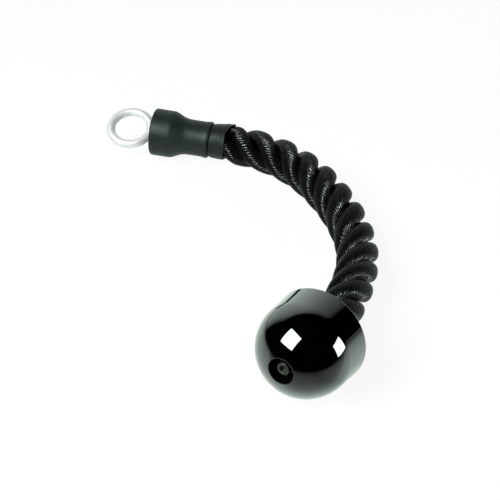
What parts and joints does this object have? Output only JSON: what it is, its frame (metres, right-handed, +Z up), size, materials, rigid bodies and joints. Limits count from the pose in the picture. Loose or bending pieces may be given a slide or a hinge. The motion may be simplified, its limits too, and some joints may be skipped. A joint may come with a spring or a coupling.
{
  "type": "triceps rope attachment",
  "caption": "Single-grip cable-machine triceps rope: a steel eye in a rubber-sleeved ferrule, a laid black rope bent into a curve, and a glossy ball stop screwed to the rope's end.",
  "frame": {"origin": "on the floor that the part lies on, under the middle of its bounding box", "axes": "+Z up, +Y from the ball end to the eye end, +X towards the outside of the rope's bend"},
  "size_m": [0.2214, 0.351, 0.0685],
  "materials": {
    "steel_bright": "bright plated steel",
    "steel_plain": "plain zinc-plated steel, hidden",
    "rubber_black": "satin black rubber",
    "band_black": "satin black shrink tube",
    "rope_black": "laid synthetic filament, slightly glossy",
    "ball_black": "polished black",
    "screw_black": "blackened steel"
  },
  "bodies": {
    "rope_grip": {"rubber_sleeve": "rubber_black", "anchor_ferrule": "steel_plain", "shrink_band": "band_black", "rope_strand_a": "rope_black", "rope_strand_b": "rope_black", "rope_strand_c": "rope_black", "ball_grip": "ball_black", "ball_end_cap": "steel_plain", "ball_screw": "screw_black", "ball_screw_washer": "screw_black"},
    "swivel_eye": {"eye": "steel_bright", "eye_washer": "steel_plain", "eye_nut": "steel_plain"}
  },
  "joints": [
    {"name": "eye_swivel", "type": "hinge", "parent": "rope_grip", "child": "swivel_eye", "pos_m": [-0.06936, 0.1522, 0.02178], "axis": [0.9812, -0.1802, -0.0691], "continuous": true}
  ]
}
